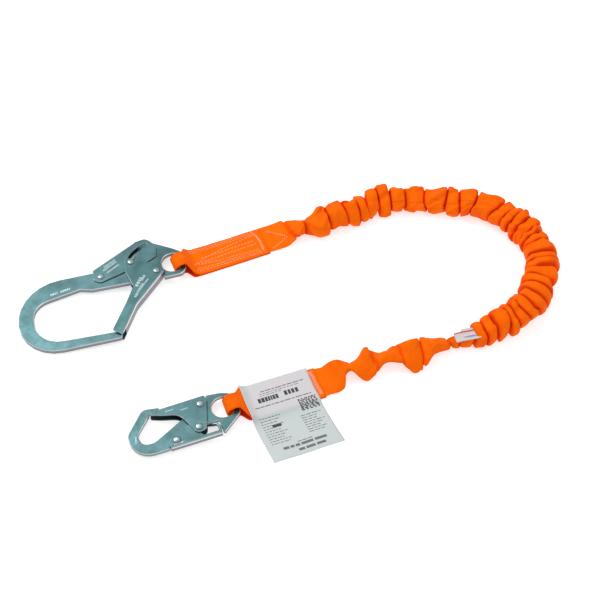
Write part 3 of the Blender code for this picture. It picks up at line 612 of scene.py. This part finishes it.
# Half the width and half the thickness of the flattened web, its roll in radians, and how
# high and how far sideways its middle lies, all by the share of the leg's length.
half_width = profile_at(((0, 21.6), (0.05, 19.0), (0.078, 11), (0.097, 20), (0.122, 18.5),
                         (0.17, 17), (0.21, 19), (0.30, 18), (0.42, 18.5), (0.55, 19),
                         (0.66, 18.5), (0.72, 16), (0.755, 9), (0.785, 7), (0.81, 13),
                         (0.84, 20), (0.865, 18), (0.893, 10), (0.918, 20.5), (0.944, 11),
                         (0.965, 19.0), (1.0, 21.6)))
half_height = profile_at(((0, 1.2), (0.03, 2.4), (0.07, 6), (0.10, 8), (0.16, 11),
                          (0.21, 9), (0.30, 9), (0.42, 11), (0.55, 15), (0.66, 14),
                          (0.74, 9), (0.785, 5), (0.82, 6), (0.86, 5), (0.90, 4.6),
                          (0.95, 4), (0.975, 2.4), (1.0, 1.2)))
roll = profile_at(((0, 0.0), (0.045, -0.1), (0.075, 0.5), (0.10, -0.6), (0.13, 0.45),
                   (0.155, -0.65), (0.185, 0.5), (0.215, -0.6), (0.26, -0.35), (0.36, -0.3),
                   (0.46, -0.15), (0.60, 0.0), (0.72, 0.2), (0.775, 0.0), (0.805, -0.6),
                   (0.845, 0.62), (0.885, -0.85), (0.915, 0.62), (0.942, -0.8),
                   (0.962, 0.35), (0.98, 0.0), (1.0, 0.0)))
lift = profile_at(((0, 2.4), (0.03, 4), (0.07, 10), (0.10, 14), (0.16, 16), (0.25, 15),
                   (0.42, 16), (0.55, 18.5), (0.66, 18), (0.74, 13), (0.785, 9),
                   (0.82, 11), (0.86, 14), (0.885, 12), (0.915, 13), (0.942, 10),
                   (0.965, 7), (0.98, 3.6), (1.0, 2.4)))
sideways = profile_at(((0, 0), (0.05, 0), (0.09, 1), (0.13, -3), (0.17, 3), (0.21, -1.5),
                       (0.25, 0), (0.76, 0), (0.80, 2), (0.845, -3.0), (0.885, 3.0),
                       (0.915, -1), (0.942, 3.0), (0.965, -1.5), (1.0, 0)))

# Creases across the web: listed on the wide panels, then close ones round the bend.
BEND_END = 0.765                                # share of the leg
cuts = [0.0, 40.0, 58.0, 92.0, 115.0, 133.0, 148.0, 163.0, 181.0, 199.0, 228.0, 256.0,
        274.0, 293.0, 324.0, 343.0]
while cuts[-1] < BEND_END * LEG_LENGTH:
    cuts.append(cuts[-1] + RNG.uniform(10.5, 17.5))
while cuts[-1] < LEG_LENGTH:
    cuts.append(cuts[-1] + RNG.uniform(26, 38))
CREASE_WIDTH, LIP_WIDTH, LIP_PLACE = 2.1, 1.7, 3.0       # mm
cuts = np.array(cuts)
panels = len(cuts)
crooked = RNG.uniform(-1, 1, (4, panels))       # how each crease slants and bends
crooked[:, 0] = 0.0

# Grids of rings by sides: distance along the leg, and the angle round it.
angles = np.linspace(0, math.tau, SIDES, endpoint=False)
STATION, ANGLE = np.meshgrid(along_leg, angles, indexing="ij")
COS, SIN = np.cos(ANGLE), np.sin(ANGLE)
panel_place = np.empty_like(STATION)            # panel number plus the place in it, 0 to 1
for k, angle in enumerate(angles):
    slant = (3.6 * crooked[0] * math.cos(angle) + 2.4 * crooked[1] * math.sin(angle)
             + 1.8 * crooked[2] * np.sin(2 * angle + 3 * crooked[3]))
    panel_place[:, k] = np.interp(along_leg, np.maximum.accumulate(cuts + slant),
                                  np.arange(panels))
panel = np.clip(panel_place.astype(int), 0, panels - 1)
within = panel_place - panel
size = np.diff(cuts, append=cuts[-1] + 30.0)[panel]
away = np.minimum(within, 1 - within) * size    # mm to the nearest crease
past_crease = np.where(within < 0.5, 1, -1)     # 1 just after a crease, -1 just before one

# How deep the creases cut, then each panel's own corners, puff and tip.
depth = profile_at(((0, 0.0), (0.035, 0.6), (0.06, 3.5), (0.10, 5.0), (0.22, 6.0),
                    (0.30, 5.5), (0.42, 5.5), (0.50, 6.5), (0.70, 6.5), (0.76, 3.0),
                    (0.80, 2.6), (0.90, 2.0), (0.96, 0.8), (1.0, 0.0)))[:, None]
loose = np.clip(depth / 5.0, 0, 1)              # 0 where the web is sewn flat
strong = RNG.uniform(0.55, 1.45, panels + 1)
depth = depth * np.where(within < 0.5, strong[panel], strong[np.minimum(panel + 1, panels)])
notch = np.exp(-(away / CREASE_WIDTH) ** 2)
dome = 1 - (2 * within - 1) ** 2
start_corner = RNG.uniform(-4.2, 4.6, (2, panels))       # mm out, on each side of the leg
end_corner = RNG.uniform(-4.2, 4.6, (2, panels))
corner = np.where(COS > 0,
                  start_corner[0][panel] * (1 - within) + end_corner[0][panel] * within,
                  start_corner[1][panel] * (1 - within) + end_corner[1][panel] * within)
puff = RNG.uniform(-2.4, 3.2, panels)[panel]
tipped = RNG.uniform(-0.30, 0.30, panels)[panel]
off_crease = np.clip(away / 3.0, 0, 1) ** 0.7
sway, small = smooth_noise(LEG_LENGTH, 9.0, 6), smooth_noise(LEG_LENGTH, 4.5, 7)
fine = 0.6 * sway(STATION + 10 * np.sin(ANGLE)) + 0.35 * small(STATION + 6 * np.cos(ANGLE * 2))
ROUND_SIDES, ROUND_TOP = 0.80, 0.72             # below 1: fuller than an ellipse
wide = np.sign(COS) * np.abs(COS) ** ROUND_SIDES * (half_width[:, None] + loose * (
    corner * off_crease * np.abs(COS) + 1.2 * dome) - depth * notch * (0.35 + 0.75 * COS ** 2))
tall = np.sign(SIN) * np.abs(SIN) ** ROUND_TOP * np.maximum(half_height[:, None] + loose * (
    puff * off_crease + 2.2 * dome + 0.9 * fine) - depth * 0.8 * notch, 1.0)
left, right = smooth_noise(LEG_LENGTH, 15.0, 9), smooth_noise(LEG_LENGTH, 17.0, 10)
tall = tall + np.where(COS > 0, left(STATION), right(STATION)) * np.abs(COS) ** 3 * 6.0 * loose
dent = smooth_noise(LEG_LENGTH, 11.0, 12)
tall = tall - loose * 2.6 * dent(STATION + 30 * COS) * np.clip(SIN, 0, 1)
pinch = smooth_noise(LEG_LENGTH, 6.5, 14)
pinched = np.clip(pinch(STATION + 90 * (COS > 0)), 0, 1)
wide = wide - np.sign(COS) * loose * 3.2 * pinched ** 2 * COS ** 2

# The rings' own sections turned by the roll, then lips beside each crease and a slack sway
# along the leg.
turn = roll[:, None] + tipped * loose * off_crease
across = wide * np.cos(turn) - tall * np.sin(turn) + sideways[:, None]
upward = wide * np.sin(turn) + tall * np.cos(turn)
lips = -past_crease * 1.5 * np.exp(-((away - LIP_PLACE) / LIP_WIDTH) ** 2) * loose
slouch = step_between(leg_share, 0.80, 0.83) * (1 - step_between(leg_share, 0.955, 0.975))
drape = (3.0 * left(STATION * 0.7 + 40) * COS * loose
         + 5.5 * np.sin(leg_share * 52.0)[:, None] * COS * slouch[:, None])

# The sections set along the route.
tangent = np.gradient(route[:, :2], axis=0)
tangent /= np.linalg.norm(tangent, axis=1, keepdims=True)
side = np.stack((tangent[:, 1], -tangent[:, 0]), axis=1)
centre = np.column_stack((route[:, :2] + SHIFT[:2], lift))
X = centre[:, None, 0] + side[:, None, 0] * across + tangent[:, None, 0] * (lips + drape)
Y = centre[:, None, 1] + side[:, None, 1] * across + tangent[:, None, 1] * (lips + drape)
Z = centre[:, None, 2] + upward

# Where the web would sink into the floor, it flattens on it instead.
SETTLE = 2.0
lowest = 0.6 + 0.25 * (1 + fine)
Z = np.where(Z < lowest + SETTLE, lowest + SETTLE * np.exp((Z - lowest - SETTLE) / SETTLE), Z)
leg_points = np.stack((X, Y, Z), axis=-1)
leg = add("gathered_leg", leg_points.reshape(-1, 3) * MM, tube_faces(RINGS, SIDES),
          WEB, "web_leg")

# Painted shade for the web's colour: darker red in the creases, in small tucks at the sides, and
# underneath.
tuck_shade = 0.9 * small(STATION * 0.8 + 25 * COS) + 0.5 * sway(STATION + 18 * COS)
tuck_shade = np.clip(tuck_shade, 0, 1) * np.abs(COS)
crease_shade = np.clip(np.exp(-(away / 3.0) ** 2) + 0.45 * tuck_shade, 0, 1) * loose
underside_shade = np.clip(-SIN * 0.8, 0, 1) * 0.5
set_shade_and_fold(leg, np.clip(crease_shade * 0.8 + underside_shade, 0, 1))
GATHER = 1.6                                    # mm of flat web to each mm along the leg
around = np.where(ANGLE > math.pi, math.tau - ANGLE, ANGLE) / math.pi * 2 * WEB_HALF
set_uv(leg, np.stack((STATION * GATHER, around), axis=-1).reshape(-1, 2))
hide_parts("stretch_web_tube", "shock_absorbing_core", "elastic_cord_outer",
            "elastic_cord_inner")

# The dark line of stitches that holds the gathered web to its elastic.
normals = unit_cross(np.gradient(leg_points, axis=0),
                     np.roll(leg_points, -1, axis=1) - np.roll(leg_points, 1, axis=1))
column = SIDES // 4 - 3                         # near the top, a little to one side
if normals[RINGS // 2, column, 2] < 0:
    normals = -normals
LEAST_AWAY, LONGEST_STEP = 1.6, 4.0             # mm from a crease; mm within one run
dark_runs = []
for start, end in ((0.045, 0.06), (0.225, 0.50)):
    picked = [i for i in range(int(start * RINGS), int(end * RINGS), 2)
              if away[i, column] > LEAST_AWAY]
    run = []
    for i in picked:
        if run and np.linalg.norm(leg_points[i, column] - run[-1][0]) > LONGEST_STEP:
            dark_runs.append(run)
            run = []
        run.append((leg_points[i, column], normals[i, column]))
    dark_runs.append(run)
dark_runs = [run for run in dark_runs if len(run) > 4]

# White stitches that run together to a point where the leg leaves the large hook's eye.
LEAD_FROM, LEAD_TO = 0.012, 0.042               # shares of the leg
lead_in = []
for spread in (-7, 8):
    picked = [(i, column + int(round(spread * (LEAD_TO - i / RINGS) / (LEAD_TO - LEAD_FROM))))
              for i in range(int(LEAD_FROM * RINGS), int(LEAD_TO * RINGS), 2)]
    lead_in.append([(leg_points[i, c], normals[i, c]) for i, c in picked])
lead_stitch = stitches("lead_in_stitching", lead_in, WHITE_THREAD, "web_leg", 2.4, 1.2, 0.4)
centre_stitch = stitches("centre_stitching", dark_runs, DARK_THREAD, "web_leg",
                         1.9, 1.3, 0.26)

# ------------------------------------------------------------------ labels
# Across the web (mm from its middle) and the share of the web's height: over and off it.
LABEL_PATH = ((23.7, 0.25), (24.4, 0.65), (22.9, 1.0), (11.0, 1.0), (0.0, 1.0),
              (-11.0, 1.0), (-21.5, 1.0), (-24.6, 0.72), (-29.0, 0.32), (-37.0, 0.08),
              (-50.0, 0.0), (-68.0, 0.0), (-86.0, 0.0))
LABEL_NEAR, LABEL_FAR = 18.6, 100.9             # mm from the eye bar
LABEL_SAMPLES, RISE = 90, 4.0                   # RISE: mm for a share of 1 in the path
label_line, _ = catmull([(v, share * RISE) for v, share in LABEL_PATH], LABEL_SAMPLES)
label_stations = np.linspace(0, 1, LABEL_SAMPLES)
FOLD_LINE = 0.43                                # where the label leaves the web, 0 to 1


def label_at(p, w):
    """A point of the label: p from 0 to 1 along the web, w from 0 to 1 to its loose end."""
    v = np.interp(w, label_stations, label_line[:, 0])
    share = np.clip(np.interp(w, label_stations, label_line[:, 1]) / RISE, 0, 1)
    d = LABEL_NEAR + (LABEL_FAR - LABEL_NEAR) * p
    point, heading = snap_eye.place(d)
    normal = np.array((-heading[1], heading[0]))
    top = snap_eye.top(d) + WEB_THICK / 2 + 0.9
    hang = max(0.0, w - 0.45) / 0.55
    wave = hang * (1.1 * math.sin(p * 5.2 + 0.6) ** 2 + 1.6 * hang * p * p)
    skew = 8.0 * max(0.0, v / -86.0) ** 1.5
    plan = point + normal * v + heading * skew
    crease = 0.35 * math.exp(-((w - FOLD_LINE) / 0.02) ** 2)
    height = 0.55 + (top - 0.55) * share + wave - crease
    return np.array((plan[0], plan[1], height))


def label_slab(p_range, w_range, counts, lift_by, thickness):
    """Points and faces of a part of the label, or of a print that lies on it."""
    ps = np.linspace(*p_range, counts[0])
    ws = np.linspace(*w_range, counts[1])
    grid = np.array([[label_at(p, w) for p in ps] for w in ws])
    n = unit_cross(np.gradient(grid, axis=1), np.gradient(grid, axis=0))
    n = np.where(n[..., 2:] < 0, -n, n)
    return slab(grid + n * (lift_by + thickness), grid + n * lift_by)


LABEL_COLUMNS, LABEL_ROWS, LABEL_THICK = 46, 96, 0.4
label = add("folded_label", *label_slab((0, 1), (0, 1), (LABEL_COLUMNS, LABEL_ROWS),
                                        -LABEL_THICK / 2, LABEL_THICK), LABEL, "web_leg")
set_shade_and_fold(label, np.repeat(step_between(np.linspace(0, 1, LABEL_ROWS), 0.42, 0.445),
                          2 * LABEL_COLUMNS))
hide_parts("main_label")

PRINT_LIFT, PRINT_THICK = 0.21, 0.05
PRINT_COLUMNS, PRINT_ROWS = 40, 80              # for a print as large as the label


def printed(name, boxes, mat):
    """Thin printed marks that follow the label: (p0, p1, w0, w1) boxes."""
    all_verts, all_faces = [], []
    for p0, p1, w0, w1 in boxes:
        counts = (int((p1 - p0) * PRINT_COLUMNS) + 2, int((w1 - w0) * PRINT_ROWS) + 2)
        verts, faces = label_slab((p0, p1), (w0, w1), counts, PRINT_LIFT, PRINT_THICK)
        base = len(all_verts)
        all_verts += list(verts)
        all_faces += [tuple(base + i for i in face) for face in faces]
    return add(name, all_verts, all_faces, mat, "web_leg", rounded=False)


def words(p0, p1, w, height, seed, long=0.07, gap=0.014):
    """Boxes for a line of blank bars of random lengths."""
    rng = np.random.default_rng(seed)
    out, p = [], p0
    while p < p1 - 0.02:
        end = min(p + rng.uniform(0.35, 1.0) * long, p1)
        out.append((p, end, w, w + height))
        p = end + gap
    return out


# The part of the label on the web, then two columns and the foot of its loose part.
small_lines = words(0.33, 0.92, 0.150, 0.011, 1, 0.09, 0.012)
small_lines += words(0.30, 0.86, 0.180, 0.007, 2)
small_lines += words(0.30, 0.64, 0.203, 0.007, 3)
small_lines += words(0.14, 0.94, 0.335, 0.011, 4, 0.09, 0.012)
bold_lines = words(0.24, 0.56, 0.232, 0.056, 5, 0.055, 0.010)
bold_lines += words(0.64, 0.82, 0.224, 0.056, 6, 0.055, 0.014)
for row in range(11):
    small_lines += words(0.12, 0.46 - 0.03 * (row % 3), 0.47 + 0.032 * row, 0.008, 20 + row)
for row in range(8):
    small_lines += words(0.70, 0.95 - 0.04 * (row % 3), 0.56 + 0.030 * row, 0.008, 40 + row)
bold_lines.append((0.28, 0.42, 0.570, 0.600))
grey_lines = words(0.26, 0.88, 0.862, 0.030, 60, 0.16, 0.02)
grey_lines += words(0.46, 0.84, 0.922, 0.030, 61, 0.14, 0.02)
grey_lines += words(0.50, 0.72, 0.836, 0.009, 62)

# A plain block of hatching.
HATCH_NEAR, HATCH_FAR, HATCH_TOP, HATCH_ROW = 0.755, 0.97, 0.375, 0.0155
hatch_rng = np.random.default_rng(70)
for row in range(9):
    p, w = HATCH_NEAR, HATCH_TOP + HATCH_ROW * row
    while p < HATCH_FAR - 0.005:
        end = min(p + hatch_rng.uniform(0.012, 0.040), HATCH_FAR)
        bold_lines.append((p, end, w, w + 0.0125))
        p = end + hatch_rng.uniform(0.008, 0.022)
small_print = printed("label_small_print", small_lines, GREY_INK)
bold_print = printed("label_bold_print", bold_lines, INK)
grey_print = printed("label_title_bars", grey_lines, GREY_INK)


# The small folded tag on the neck of the leg.
TAG_PLACE, TAG_HALF_THICK = 0.755, 0.25         # share of the leg; mm


def tag_sheet(name, start, end, offset, tilt, length, mat, lift_mm):
    """One leaf, from start to end mm across the leg and length mm along it."""
    i = int(TAG_PLACE * RINGS)
    origin = leg_points[i, SIDES // 4] + np.array((0, 0, lift_mm))
    ahead = np.array((*tangent[i], 0.0))
    cross = np.array((*side[i], 0.0))
    ps, ws = np.linspace(-length / 2, length / 2, 20), np.linspace(start, end, 12)
    grid = []
    for w in ws:
        row = []
        for p in ps:
            bend = 0.9 * math.sin(p / 6.0) + 0.02 * w * w
            row.append(origin + ahead * (p + offset) + cross * w
                       + np.array((0, 0, bend + tilt * w)))
        grid.append(row)
    grid = np.array(grid)
    n = TAG_HALF_THICK * unit_cross(np.gradient(grid, axis=1), np.gradient(grid, axis=0))
    return add(name, *slab(grid + n, grid - n), mat, "web_leg")


tag = tag_sheet("folded_tag", -9.0, 3.0, 0.0, 0.25, 32.0, LABEL, 2.6)
tag_under = tag_sheet("folded_tag_under", -4.0, 8.0, -8.0, -0.15, 26.0, LABEL, 1.8)
tag_edge = tag_sheet("folded_tag_edge", 2.4, 3.6, 0.0, 0.25, 32.0, TAG_RED, 3.0)
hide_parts("leg_tag")

# ------------------------------------------------------------------ hooks
LOOKS = {
    "scaffold_hook_body": PLATE, "snap_hook_body": PLATE,
    "scaffold_gate": GATE, "snap_gate": PLATE,
    "scaffold_lock_lever": PLATE, "snap_lock_lever": PLATE,
}
EDGE_ROUND, EDGE_ANGLE = 0.25, 28.0             # mm; the least angle that is rounded
for name, obj in nodes.items():
    if name in LOOKS:
        look = LOOKS[name]
    elif "rivet" in name or "pin" in name:
        look = RIVET
    else:
        continue
    obj.data.materials.clear()
    obj.data.materials.append(look)
    edge = obj.modifiers.new("edge", "BEVEL")
    edge.width = EDGE_ROUND * MM
    edge.segments = 2
    edge.limit_method = "ANGLE"
    edge.angle_limit = math.radians(EDGE_ANGLE)
    edge.harden_normals = True


def copied_spring(node):
    """A copy of a CAD spring in the spring wire material."""
    made = bpy.data.objects.new(node + "_wire", nodes[node].data.copy())
    made.data.materials.clear()
    made.data.materials.append(SPRING)
    bpy.context.scene.collection.objects.link(made)
    return made


def hook_frame(pivot, yaw, pitch):
    """A hook's own frame: its gate pivot, the way it points and its small rise."""
    return (Matrix.Translation(Vector(pivot) * MM) @ Matrix.Rotation(math.radians(yaw), 4, "Z")
            @ Matrix.Rotation(math.radians(-pitch), 4, "Y"))


FRAMES = {"scaffold": hook_frame((-31.5, 95.3, 10.267), 13.5, 2.195),
          "snap": hook_frame((32.3, -105.1, 8.713), 19.0, 2.243)}


def hook_point(hook, x, y, z=0.0):
    return FRAMES[hook] @ (Vector((x, y, z)) * MM)


# Each hook's gate spring and lever coil are copied as they are: the gate spring stays where it is
# and the coil rides on the hook.
# The points, (x, y) in the hook's frame, of the spring's anchor in the body, its leg end at the
# gate and its fold end, and the coil's seat, and the last number, are not used.
SPRINGS = {"scaffold": ((-13.8, 2.4), (-13.1, -22.1), (-57.1, 31.7), (-48.6, 16.3), 0.81),
           "snap": ((-8.5, -11.0), (-25.0, 7.75), (-20.6, -43.9), (-20.6, -31.3), 0.77)}
for name, (anchor, leg_end, fold_end, seat, keep) in SPRINGS.items():
    spring = copied_spring(name + "_gate_spring")
    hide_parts(name + "_gate_spring")
    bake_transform(spring)
    coil = copied_spring(name + "_lever_spring")
    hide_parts(name + "_lever_spring")
    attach(coil, name + "_hook")
    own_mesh(coil)


ETCH_RISE = 0.06


def etched(name, hook, body, rows, height):
    """Blank stamped marks: rows of short bars, (x, y, heading, bars, size) in mm."""
    verts, faces = [], []
    rng = np.random.default_rng(len(name))
    for x, y, heading, bars, size in rows:
        ahead = Vector((math.cos(math.radians(heading)), math.sin(math.radians(heading)), 0))
        up = Vector((-ahead.y, ahead.x, 0))
        run = 0.0
        for _ in range(bars):
            long = size * rng.uniform(0.35, 0.8)
            base = len(verts)
            for level in (0.0, ETCH_RISE):
                for a, b in ((run, 0), (run + long, 0), (run + long, size), (run, size)):
                    p = Vector((x, y, height + level)) + ahead * a + up * b
                    verts.append(hook_point(hook, *p))
            faces += [tuple(base + k for k in face) for face in (
                (0, 3, 2, 1), (4, 5, 6, 7), (0, 1, 5, 4), (1, 2, 6, 5), (2, 3, 7, 6),
                (3, 0, 4, 7))]
            run += long + size * 0.3
    return add(name, verts, faces, ETCH, body, rounded=False)


etched("marks_scaffold_body", "scaffold", "scaffold_hook", (
    (-136.0, -3.0, 9.0, 4, 3.0), (-123.0, -1.0, 9.0, 5, 3.0)), 3.31)
etched("marks_scaffold_gate", "scaffold", "scaffold_gate_set", (
    (-32.0, -36.0, 56.0, 9, 3.0), (-27.5, -20.0, 56.0, 4, 4.2), (-19.5, -12.0, 56.0, 3, 3.4),
    (-24.0, -25.0, 48.0, 9, 2.4)), 7.11)
etched("marks_scaffold_lever", "scaffold", "scaffold_lever_set", (
    (-65.0, 17.5, 30.0, 10, 2.6), (-60.5, 13.0, 30.0, 9, 2.6), (-63.5, 22.5, 30.0, 9, 2.4)), 5.21)
etched("marks_snap_gate", "snap", "snap_gate_set", ((-42.0, 3.0, 0.0, 8, 1.5),
                                                     (-24.0, -1.0, 0.0, 6, 1.5)), 6.31)
etched("marks_snap_body", "snap", "snap_hook", ((-84.0, -24.0, 80.0, 6, 1.9),), 2.51)
etched("marks_snap_lever", "snap", "snap_lever_set", ((-44.0, -42.5, 0.0, 9, 1.6),), 4.41)

# ------------------------------------------------------------------ floor
floor_shader = Shader("floor", (0.60, 0.60, 0.605), 0.9)
floor_shader.set("Specular IOR Level", 0.1)
floor_shader.set("Emission Color", (1.0, 1.0, 1.0, 1.0))
floor_shader.set("Emission Strength", 0.62)
floor = add("floor", [(-6, -6, 0), (6, -6, 0), (6, 6, 0), (-6, 6, 0)], [(0, 1, 2, 3)],
            floor_shader.mat, None, rounded=False)
